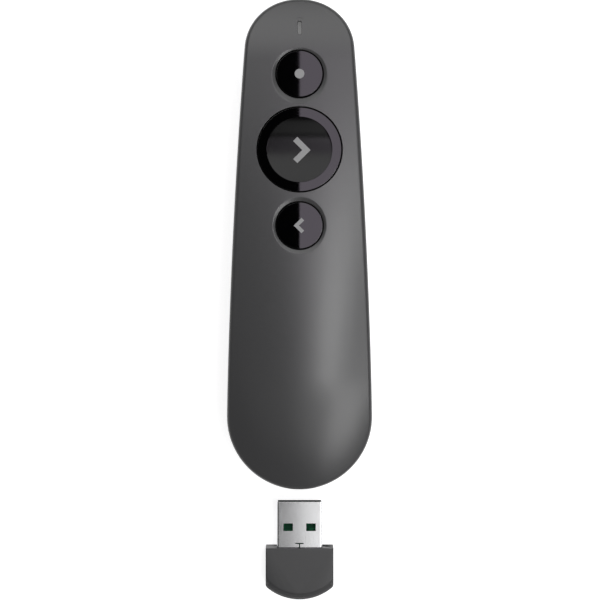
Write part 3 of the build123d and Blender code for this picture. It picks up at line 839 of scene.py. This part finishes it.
@dataclass(frozen=True)
class TopShell:
    """Moulded upper half: crowned top, rounded rim, side wall and the openings for light and buttons.

    The breaks are the rows before, between and behind the openings, from tail to nose. Whole
    numbers count the points or the rows of one stretch of the surface.
    """

    form: Form
    openings: tuple[Opening, ...]
    breaks: tuple[float, ...]
    tail_cap_y: float
    parting: float = 12.0
    rim: float = 1.3
    wall: float = 0.9
    seam: float = 0.15
    meeting: float = 0.03
    wall_shares: tuple[float, ...] = (0.25, 0.5, 0.75)
    margin_shares: tuple[float, ...] = (0.35, 0.7, 1.0)
    across: int = 49
    beside: int = 25
    outwards: int = 14
    rounding_rows: int = 6
    collar_rows: int = 14
    plain_rows: int = 40
    nose_rows: int = 9
    tail_rows: int = 15
    fillet_rows: int = 10

    def half_width(self, y: Array) -> Array:
        """Half width of the patch inside the rim."""
        return self.form.edge(self.form.facing_at(y, self.rim), self.rim)[..., 0]

    def row(self, y: float) -> Array:
        """Points across the handset at one place, from -X to +X."""
        half = float(self.half_width(np.array([y]))[0])
        return np.stack([half * np.linspace(-1, 1, self.across), np.full(self.across, y)], axis=-1)

    def side_places(self, low: float, high: float) -> Array:
        """Places along one side of a band, ends included."""
        return np.linspace(low, high, self.beside)

    def band(self, low: float, high: float, opening: Opening) -> Array:
        """Surface between two rows with a hole in it: each ray from the hole's middle runs out to the edge.

        Args:
            low: Place of the row nearer to the tail.
            high: Place of the row nearer to the nose.
            opening: The hole between them.

        Returns:
            The grid, from the foot of the hole's wall outwards, one column for each ray.
        """
        places = self.side_places(low, high)[1:-1]
        right = np.stack([self.half_width(places), places], axis=-1)
        left = (right * np.array([-1.0, 1.0]))[::-1]
        border = np.concatenate([self.row(low), right, self.row(high)[::-1], left])
        angle = np.arctan2(border[:, 1] - opening.y, border[:, 0])
        crest = float(self.form.crest(np.array(opening.y)))
        heights = [np.full(angle.shape, crest - opening.seat_depth)]
        circles = [polar(angle, opening.reach(angle, 0.0), opening.y)]
        turns = np.linspace(math.pi / 2, 0.0, self.rounding_rows)
        steps = [(opening.rounding * (1 - math.sin(turn)), opening.rounding * (1 - math.cos(turn)))
                 for turn in turns]
        wide = np.linspace(opening.rounding, opening.collar, self.collar_rows)[1:]
        for offset, drop in steps + [(offset, 0.0) for offset in wide]:
            circle = polar(angle, opening.reach(angle, offset), opening.y)
            height = self.form.height(circle)
            if opening.surround_width:
                slope = opening.surround_depth / opening.surround_width
                cone = crest - opening.surround_depth + offset * slope
                height = soft_minimum(height, cone, self.meeting)
            circles.append(circle)
            heights.append(height - drop)
        inner = circles[-1]
        for share in np.linspace(0, 1, self.outwards)[1:]:
            circle = inner + (border - inner) * share
            circles.append(circle)
            heights.append(self.form.height(circle))
        return raised(np.stack(circles), np.stack(heights))

    def cap(self, y: float, nose: bool) -> Array:
        """Surface between a row and the end of the patch: straight lines from the row to the end arc.

        Args:
            y: Place of the row.
            nose: True for the nose's end, False for the tail's.

        Returns:
            The grid.
        """
        row = self.row(y)
        turn = float(self.form.facing_at(np.array([y]), self.rim)[0])
        end, count = (turn, self.nose_rows) if nose else (2 * math.pi + turn, self.tail_rows)
        arc = self.form.edge(np.linspace(math.pi - turn, end, self.across), self.rim)
        first, last = (row, arc) if nose else (arc, row)
        shares = np.linspace(0, 1, count)[:, None, None]
        return self.form.on_top(first + (last - first) * shares)

    def loop(self) -> Array:
        """Facing angles all round, counter-clockwise from the +X end of the tail's row.

        Returns:
            The angles of the points that the rim shares with the top's patches.
        """
        places = np.concatenate([[self.tail_cap_y], self.plain_places()[1:]])
        for low, high in zip(self.breaks[:-1], self.breaks[1:]):
            places = np.concatenate([places, self.side_places(low, high)[1:]])
        right = self.form.facing_at(places, self.rim)
        over_nose = np.linspace(right[-1], math.pi - right[-1], self.across)[1:]
        left = math.pi - right[::-1][1:]
        over_tail = np.linspace(left[-1], 2 * math.pi + right[0], self.across)[1:-1]
        return np.concatenate([right, over_nose, left, over_tail])

    def plain_places(self) -> Array:
        """Rows of the long stretch without openings."""
        return np.linspace(self.tail_cap_y, self.breaks[0], self.plain_rows)

    def rim_strip(self) -> Array:
        """Side wall, rim fillet and the top's margin, as one profile carried round the outline.

        The fillet's circle touches the wall and the line of the top at one rim radius inwards. Its
        centre is h - R sqrt(1 + m^2) high, with h and m the height and slope of that line.

        Returns:
            The grid, from the seam upwards.
        """
        facing = self.loop()
        step = 0.1 * self.rim
        height = self.form.height(self.form.edge(facing, self.rim))
        slope = (height - self.form.height(self.form.edge(facing, self.rim - step))) / step
        centre = height - self.rim * np.sqrt(1 + slope**2)
        sweep = np.arctan2(1.0, slope)
        zero = np.zeros_like(facing)
        foot = self.parting + self.seam
        rows = [(zero + self.seam, zero + self.parting), (zero, zero + foot)]
        rows += [(zero, foot + (centre - foot) * share) for share in self.wall_shares]
        rows += [(self.rim * (1 - np.cos(sweep * share)), centre + self.rim * np.sin(sweep * share))
                 for share in np.linspace(0, 1, self.fillet_rows)]
        touch = self.rim * (1 - np.cos(sweep))
        margin = [touch + (self.rim - touch) * share for share in self.margin_shares]
        points = [raised(self.form.edge(facing, inset), z) for inset, z in rows]
        points += [self.form.on_top(self.form.edge(facing, inset)) for inset in margin]
        return np.stack(points)

    def build(self) -> bpy.types.Object:
        """Sews the strips, bands and caps together and gives the skin its thickness.

        Returns:
            The piece.
        """
        patches = Patchwork()
        patches.add(self.rim_strip(), ring=True)
        patches.add(self.cap(self.tail_cap_y, nose=False))
        patches.add(self.cap(self.breaks[-1], nose=True))
        patches.add(self.form.on_top(np.stack([self.row(y) for y in self.plain_places()])))
        for low, high, opening in zip(self.breaks[:-1], self.breaks[1:], self.openings):
            patches.add(self.band(low, high, opening), ring=True, flip=True)
        piece = patches.piece("upper_shell", closed=False)
        skin = piece.modifiers.new("wall", "SOLIDIFY")
        skin.thickness = self.wall * MM
        skin.offset = -1.0
        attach(piece, "handset")
        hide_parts("top_shell")
        return piece


# ---------------------------------------------------------------- buttons
@dataclass(frozen=True)
class Button:
    """Round key: crowned top, rounded edge and straight skirt, a flange, and a thumb pad if it has one.

    The edge ring is a narrow ring beside a rounded edge, which keeps the edge's shading off the top.
    """

    name: str
    form: Form
    y: float
    hole_radius: float
    pad_radius: float = 0.0
    scoop_depth: float = 0.0
    scoop_lean: float = 0.5
    scoop_sunk: float = 0.05
    gap: float = 0.35
    recess: float = 0.1
    edge: float = 0.04
    seat_depth: float = 2.65
    flange: float = 0.6
    flange_thickness: float = 0.8
    proud: float = 0.012
    mark_depth: float = 0.3
    pad_thickness: float = 0.25
    pad_gap: float = 0.03
    pad_edge: float = 0.03
    pad_lift: float = 0.01
    edge_ring: float = 0.015
    spokes: int = 120
    rings: int = 36
    hidden_rings: int = 24
    edge_rings: int = 7
    dot_rings: int = 8
    arm_points: int = 25
    arm_rows: int = 7

    @property
    def crest(self) -> float:
        """Height of the shell over the key's middle."""
        return float(self.form.crest(np.array(self.y)))

    @property
    def radius(self) -> float:
        """Radius of the key's skirt."""
        return self.hole_radius - self.gap

    @property
    def seat(self) -> float:
        """Height of the flange's top."""
        return self.crest - self.seat_depth

    @property
    def foot(self) -> float:
        """Height of the flange's underside."""
        return self.seat - self.flange_thickness

    def top(self, points: Array) -> Array:
        """Height of the key's top: the shell's own crown, a little lower."""
        return self.form.height(points) - self.recess

    def scoop(self, points: Array) -> Array:
        """Height of the thumb pad, a trough across the key: crest - d (1 - u^2) (1 + k u), with u = y / r.

        Args:
            points: Places with x and y in the last axis.

        Returns:
            The heights.
        """
        along = (points[..., 1] - self.y) / max(self.pad_radius, TINY)
        deep = self.scoop_depth * np.maximum(1 - along**2, 0.0) * (1 + self.scoop_lean * along)
        return self.form.crest(points[..., 1]) - self.recess - self.scoop_sunk - deep

    def finger_surface(self, points: Array) -> Array:
        """Height of the surface that carries the mark."""
        return self.scoop(points) if self.pad_radius else self.top(points)

    def turned(self, profile: Profile) -> Array:
        """Grid of circles round the key's axis.

        Args:
            profile: For each circle its radius, its height or the surface that it lies on, and a drop.

        Returns:
            The grid, one row for each circle.
        """
        angle = np.linspace(0, 2 * math.pi, self.spokes, endpoint=False)
        circles = []
        for radius, level, drop in profile:
            circle = polar(angle, radius, self.y)
            height = level(circle) if callable(level) else np.full(angle.shape, level)
            circles.append(raised(circle, height - drop))
        return np.stack(circles)

    def spun(self, profile: Profile, kind: str, node: str = "") -> bpy.types.Object:
        """Piece of circles round the key's axis.

        Args:
            profile: The circles.
            kind: Last word of its name.
            node: Solid that it stands for, if there is one.

        Returns:
            The piece.
        """
        patches = Patchwork().add(self.turned(profile), ring=True)
        return patches.fitted(f"{self.name}_{kind}", f"{self.name}_key", "gloss_black", node)

    def build_cap(self) -> bpy.types.Object:
        """Key without its mark, its pad and its flange.

        Returns:
            The piece.
        """
        rows = []
        if self.pad_radius:
            rings = np.linspace(0.0, self.pad_radius, self.hidden_rings)
            rows = [(ring, self.scoop, self.pad_thickness) for ring in rings]
        rings = np.linspace(self.pad_radius, self.radius - self.edge - self.edge_ring, self.rings)
        rows += [(ring, self.top, 0.0) for ring in rings]
        rows += [(self.radius - self.edge * (1 - math.sin(turn)), self.top, self.edge * (1 - math.cos(turn)))
                 for turn in np.linspace(0, math.pi / 2, self.edge_rings)]
        rows += [(self.radius, self.foot, 0.0), (0.0, self.foot, 0.0)]
        return self.spun(rows, "key", f"{self.name}_button")

    def build_collar(self) -> bpy.types.Object:
        """Flange round the key's foot, which holds it under the shell.

        Returns:
            The piece.
        """
        inner, outer = self.radius, self.hole_radius + self.flange
        corners = [(inner, self.seat), (outer, self.seat), (outer, self.foot), (inner, self.foot)]
        return self.spun([(*corner, 0.0) for corner in corners + corners[:1]], "collar")

    def build_pad(self) -> bpy.types.Object:
        """Thumb pad: a thin scooped plate let into the key.

        Returns:
            The piece.
        """
        radius = self.pad_radius - self.pad_gap
        shoulder = radius - self.pad_edge
        depth = self.pad_thickness - self.pad_lift
        rows = [(ring, self.scoop, 0.0) for ring in np.linspace(0.0, shoulder - self.edge_ring, self.rings)]
        rows += [(shoulder, self.scoop, 0.0), (radius, self.scoop, self.pad_edge)]
        rows += [(ring, self.scoop, depth) for ring in np.linspace(radius, 0.0, self.hidden_rings)]
        return self.spun(rows, "pad")

    def finish_mark(self, patches: Patchwork, node: str) -> bpy.types.Object:
        """Makes the mark's object in place of its solid."""
        return patches.fitted(f"{self.name}_mark", f"{self.name}_key", "mark_grey", node, crisp=40.0)

    def build_dot(self, radius: float) -> bpy.types.Object:
        """Round mark.

        Args:
            radius: Its radius.

        Returns:
            The piece.
        """
        rings = np.linspace(0.0, radius, self.dot_rings)
        rows = [(ring, self.finger_surface, -self.proud) for ring in rings]
        low = self.crest - self.recess - self.mark_depth
        rows += [(radius, low, 0.0), (0.0, low, 0.0)]
        return self.finish_mark(Patchwork().add(self.turned(rows), ring=True), f"{self.name}_dot")

    def build_chevron(self, side: Side, height: float, arm: float, tip: float) -> bpy.types.Object:
        """Arrow mark: straight lines between an outer and an inner corner, both at right angles.

        Args:
            side: Where it points.
            height: Its size along the handset.
            arm: Width of each arm.
            tip: Distance from the key's middle to the outer corner.

        Returns:
            The piece.
        """
        run = np.linspace(-1, 1, self.arm_points)[None, :, None]
        share = np.linspace(0, 1, self.arm_rows)[:, None, None]
        half, cut = height / 2, arm / math.sqrt(2)
        outer = np.concatenate([tip - half * np.abs(run), half * run], axis=-1)
        back = tip - arm * math.sqrt(2)
        reach = half - cut
        inner = np.concatenate([back - (back - tip + half + cut) * np.abs(run), reach * run], axis=-1)
        plan = outer + (inner - outer) * share
        plan = plan * np.array([side.value, 1.0]) + np.array([0.0, self.y])
        inlay = raised(plan, self.finger_surface(plan) + self.proud)
        return self.finish_mark(Patchwork().add_slab(inlay, self.mark_depth), f"{self.name}_chevron")


# ---------------------------------------------------------------- status light
@dataclass(frozen=True)
class LightPipe:
    """Milky bar in the nose's slot, sunk at its front end and nearly level with the shell at its rear end."""

    form: Form
    slot: Opening
    fit: float = 0.04
    level: float = 0.04
    sunk: float = 0.3
    depth: float = 1.6
    spokes: int = 96
    rings: int = 9

    def build(self) -> bpy.types.Object:
        """Slot-shaped rings, each a share of the outer one, with the top's height less a slope.

        Returns:
            The piece.
        """
        angle = np.linspace(0, 2 * math.pi, self.spokes, endpoint=False)
        edge = self.slot.reach(angle, -self.fit)
        half = self.slot.straight + self.slot.radius
        steps = [(share, 0.0) for share in np.linspace(0, 1, self.rings)]
        rings = []
        for share, drop in steps + [(1.0, self.depth), (0.0, self.depth)]:
            ring = polar(angle, edge * share, self.slot.y)
            forward = (ring[:, 1] - self.slot.y + half) / (2 * half)
            rings.append(raised(ring, self.form.height(ring) - self.level - self.sunk * forward**2 - drop))
        patches = Patchwork().add(np.stack(rings), ring=True)
        return patches.fitted("light_bar", "handset", "light_pipe", "light_pipe")


# ---------------------------------------------------------------- studio
@dataclass(frozen=True)
class SoftBox:
    """Flat lamp that hangs level and gives off even light downwards, between two sides in X and two in Y."""

    name: str
    across: tuple[float, float]
    along: tuple[float, float]
    brightness: float
    tint: Colour = (1.0, 1.0, 1.0)

    def build(self, height: float) -> None:
        """Makes the lamp, whose power is brightness x pi x area.

        Args:
            height: Height that it hangs at.
        """
        data = bpy.data.lights.new(self.name, "AREA")
        data.shape = "RECTANGLE"
        data.size = self.across[1] - self.across[0]
        data.size_y = self.along[1] - self.along[0]
        data.energy = self.brightness * math.pi * data.size * data.size_y
        data.color = self.tint
        lamp = placed(self.name, data)
        lamp.location = (sum(self.across) / 2, sum(self.along) / 2, height)
        lamp.visible_camera = False


@dataclass(frozen=True)
class Studio:
    """White table under a black ceiling with soft boxes, pale surroundings and a camera overhead.

    Places and lengths are in metres, apart from the lens and the sensor.
    """

    camera_at: Triple = (0.00012, 0.00097, 0.4)
    lens: float = 90.0
    sensor: float = 36.0
    nearest: float = 0.01
    table: float = 6.0
    table_height: float = -0.00002
    table_grey: float = 0.6
    table_glow: float = 0.75
    ceiling: float = 2.0
    ceiling_gap: float = 0.01
    lamp_height: float = 0.62
    surroundings: float = 0.3

    def soft_boxes(self) -> tuple[SoftBox, ...]:
        """Lamps that the polished tops and the satin shell show.

        Returns:
            The lamps, of which the box over the keys starts right above the camera.
        """
        edge = self.camera_at[0]
        return (
            SoftBox("box over the keys", (edge, 0.115), (0.015, 0.285), 2.2, (1.0, 0.9, 1.05)),
            SoftBox("front box for the sheen", (0.086, 0.142), (0.03, 0.085), 21.0),
            SoftBox("middle box for the sheen", (0.12, 0.19), (-0.06, 0.03), 20.5),
            SoftBox("lower box for the sheen", (0.155, 0.26), (-0.13, -0.06), 13.5),
            SoftBox("rear box for the sheen", (0.22, 0.62), (-0.6, -0.12), 5.3),
            SoftBox("box at the nose", (-0.5, 0.5), (0.29, 0.9), 2.4),
            SoftBox("box at the left", (-0.5, -0.065), (0.155, 0.285), 1.5),
            SoftBox("box at the right", (0.12, 0.5), (0.09, 0.285), 1.5),
            SoftBox("right box at the tail", (edge, 0.185), (-0.5, -0.09), 1.2),
            SoftBox("left box at the tail", (-0.4, edge), (-0.5, -0.09), 0.24),
        )

    def build_camera(self) -> None:
        """Camera that looks straight down with the nose up in the picture."""
        data = bpy.data.cameras.new("camera")
        data.lens = self.lens
        data.sensor_width = self.sensor
        data.clip_start = self.nearest
        camera = placed("camera", data)
        camera.location = self.camera_at
        bpy.context.scene.camera = camera

    def build_sheet(self, name: str, size: float, height: float) -> tuple[bpy.types.Object, Recipe]:
        """Flat square round the middle.

        Args:
            name: Name of the sheet.
            size: Length of a side in metres.
            height: Height above the object's underside.

        Returns:
            The sheet and the recipe of its finish.
        """
        half = size / 2
        mesh = bpy.data.meshes.new(name)
        corners = [(-half, -half), (half, -half), (half, half), (-half, half)]
        mesh.from_pydata([(x, y, height) for x, y in corners], [], [(0, 1, 2, 3)])
        sheet = placed(name, mesh)
        recipe = Recipe(name)
        mesh.materials.append(recipe.material)
        return sheet, recipe

    def build_table(self) -> None:
        """Flat white table, which glows a little where the camera, metal or glass shows it."""
        _, recipe = self.build_sheet("table", self.table, self.table_height)
        path = recipe.add("LightPath")
        seen = path.outputs["Is Camera Ray"]
        for kind in ("Is Glossy Ray", "Is Transmission Ray"):
            seen = recipe.add("Math", {"operation": "MAXIMUM"}, Value=seen)
            recipe.feed(seen, 1, path.outputs[kind])
            seen = seen.outputs[0]
        recipe.surface(
            Base_Color=(self.table_grey,) * 3,
            Roughness=0.9,
            Specular_IOR_Level=0.0,
            Emission_Color=(1.0, 1.0, 1.0),
            Emission_Strength=recipe.span(seen, 0.0, self.table_glow),
        )

    def build_ceiling(self) -> None:
        """Black ceiling over the lamps, so that polished tops show black beside the soft boxes."""
        sheet, recipe = self.build_sheet("ceiling", self.ceiling, self.lamp_height + self.ceiling_gap)
        recipe.surface(Base_Color=(0.0, 0.0, 0.0), Roughness=1.0, Specular_IOR_Level=0.0)
        sheet.visible_camera = False

    def build_world(self) -> None:
        """Plain white surroundings."""
        world = bpy.data.worlds.new("surroundings")
        bpy.context.scene.world = world
        world.use_nodes = True
        background = world.node_tree.nodes["Background"]
        background.inputs["Color"].default_value = (1.0, 1.0, 1.0, 1.0)
        background.inputs["Strength"].default_value = self.surroundings

    def build(self) -> None:
        """Makes the whole studio."""
        self.build_table()
        self.build_ceiling()
        self.build_world()
        for box in self.soft_boxes():
            box.build(self.lamp_height)
        self.build_camera()


# ---------------------------------------------------------------- whole clicker
@dataclass(frozen=True)
class Clicker:
    """The handset with its keys, works, battery door and receiver."""

    form: Form
    laser_y: float
    next_y: float
    back_y: float
    light_y: float
    small_hole: float = 6.15
    large_hole: float = 10.9
    surround_width: float = 1.05
    surround_depth: float = 0.45
    tail_cap: float = 9.0
    cell_pole: float = 0.9

    def build_shells(self) -> Iterator[bpy.types.Object]:
        """Upper and lower shell, battery door and latch in one satin plastic, and the light's bar.

        Yields:
            The finished pieces.
        """
        surround = {"surround_width": self.surround_width, "surround_depth": self.surround_depth}
        slot = Opening(self.light_y, radius=0.55, straight=1.25, rounding=0.05, seat_depth=2.0)
        openings = (
            Opening(self.back_y, self.small_hole, **surround),
            Opening(self.next_y, self.large_hole),
            Opening(self.laser_y, self.small_hole, **surround),
            slot,
        )
        between_openings = (66.0, 50.4, 27.4, 11.6, 4.4)
        breaks = tuple(self.form.nose - from_nose for from_nose in between_openings)
        shell = TopShell(self.form, openings, breaks, tail_cap_y=self.form.tail + self.tail_cap)
        body = MouldedPlastic("graphite satin", (0.041, 0.041, 0.042), roughness=0.31)
        milky = MouldedPlastic("milky bar", (0.105, 0.105, 0.104), roughness=0.36, grain=0.3, depth=0.0004)
        yield body.dress(shell.build())
        yield milky.dress(LightPipe(self.form, slot).build())
        yield body.dress(softened("bottom_shell", "lower_shell", follows=self.form))
        yield body.dress(softened("battery_door", "door_panel"))
        yield body.dress(softened("door_latch", "door_catch"))

    def build_buttons(self) -> Iterator[bpy.types.Object]:
        """Three keys with their marks.

        Yields:
            The finished pieces.
        """
        ink = MouldedPlastic("mark grey", (0.215, 0.215, 0.217), roughness=0.5, grain=0.1, depth=0.0005)
        gloss = PolishedPlastic("piano black", (0.0006, 0.0006, 0.0007))
        satin = PolishedPlastic("satin black", (0.0012, 0.0012, 0.0013), roughness=0.21, smoother=0.03,
                                rougher=0.03, haze=0.7, haze_tone=0.3, specular=0.25, ripple_depth=0.0004)
        matt = MouldedPlastic("black collar", (0.003, 0.003, 0.003), roughness=0.6, specular=0.2)
        laser = Button("laser", self.form, self.laser_y, self.small_hole)
        forward = Button("next", self.form, self.next_y, self.large_hole, pad_radius=8.3, scoop_depth=1.6)
        back = Button("back", self.form, self.back_y, self.small_hole)
        for key in (laser, forward, back):
            yield gloss.dress(key.build_cap())
            yield matt.dress(key.build_collar())
        yield satin.dress(forward.build_pad())
        yield ink.dress(laser.build_dot(radius=1.22))
        yield ink.dress(forward.build_chevron(Side.RIGHT, height=6.7, arm=1.5, tip=2.8))
        yield ink.dress(back.build_chevron(Side.LEFT, height=3.9, arm=0.93, tip=1.45))

    def build_works(self) -> Iterator[bpy.types.Object]:
        """Every other solid, joined and smoothed, in its own finish.

        Yields:
            The finished pieces.
        """
        black = MouldedPlastic("black nylon", (0.012, 0.012, 0.013), roughness=0.55)
        steel = Metal("spring steel", (0.62, 0.61, 0.58), roughness=0.28)
        zinc = Metal("zinc plate", (0.55, 0.56, 0.58), roughness=0.3, brushing=Brushing.NONE)
        cells = {}
        for node, sign in (("battery_left", 1), ("battery_right", -1)):
            foot, pole = [corner.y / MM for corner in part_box(node)][::sign]
            cells[node] = CellSleeve(f"sleeve {node}", pole - sign * self.cell_pole, foot)
        finishes = {
            "status_led": MouldedPlastic("lamp body", (0.6, 0.6, 0.55), grain=0.1),
            "main_board": CircuitBoard("green board"),
            "radio_chip": MouldedPlastic("chip epoxy", (0.01, 0.01, 0.011), roughness=0.6, grain=0.06),
            "crystal": zinc,
            "chip_capacitors": CeramicChip("ceramic"),
            "chassis": black,
            **cells,
            "positive_contact": steel,
            "negative_contact": steel,
            "bridge_contact": steel,
            "laser_module": Metal("turned brass", (0.72, 0.5, 0.2), brushing=Brushing.ACROSS),
            "laser_lens": ClearPlastic("lens", (0.9, 0.9, 0.92), roughness=0.02, clearness=1.0),
            "laser_window": ClearPlastic("smoked window", (0.35, 0.05, 0.05)),
            "case_screws": zinc,
            "board_screws": zinc,
            "dock_liner": black,
            "dock_socket": black,
            "receiver_housing": MouldedPlastic("receiver satin", (0.027, 0.027, 0.028), roughness=0.48),
            "receiver_shell": Metal("plug steel", (0.74, 0.74, 0.75), roughness=0.1),
            "receiver_board": CircuitBoard("plug board"),
            "receiver_contacts": Metal("gold flash", (0.8, 0.55, 0.2), roughness=0.25),
        }
        for key in KEYS:
            finishes[f"{key}_switch"] = black
            finishes[f"{key}_plunger"] = black
        for node, finish in finishes.items():
            yield finish.dress(softened(node, f"{node}_piece"))


def middle_y(node: str) -> float:
    """Middle of a solid along the handset, in millimetres."""
    return sum(corner.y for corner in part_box(node)) / 2 / MM


def main() -> None:
    """Builds the clicker and the studio, and reports each piece."""
    logging.basicConfig(level=logging.INFO, format="%(message)s")
    low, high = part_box("top_shell")
    form = Form(nose=high.y / MM, tail=low.y / MM)
    clicker = Clicker(form, *(middle_y(f"{key}_button") for key in KEYS), middle_y("status_led"))
    for build in (clicker.build_shells, clicker.build_buttons, clicker.build_works):
        for piece in build():
            LOG.info("built %s in %s", piece.name, piece.data.materials[0].name)
    Studio().build()
    bpy.context.scene.view_settings.view_transform = "Standard"


if __name__ == "__main__":
    main()
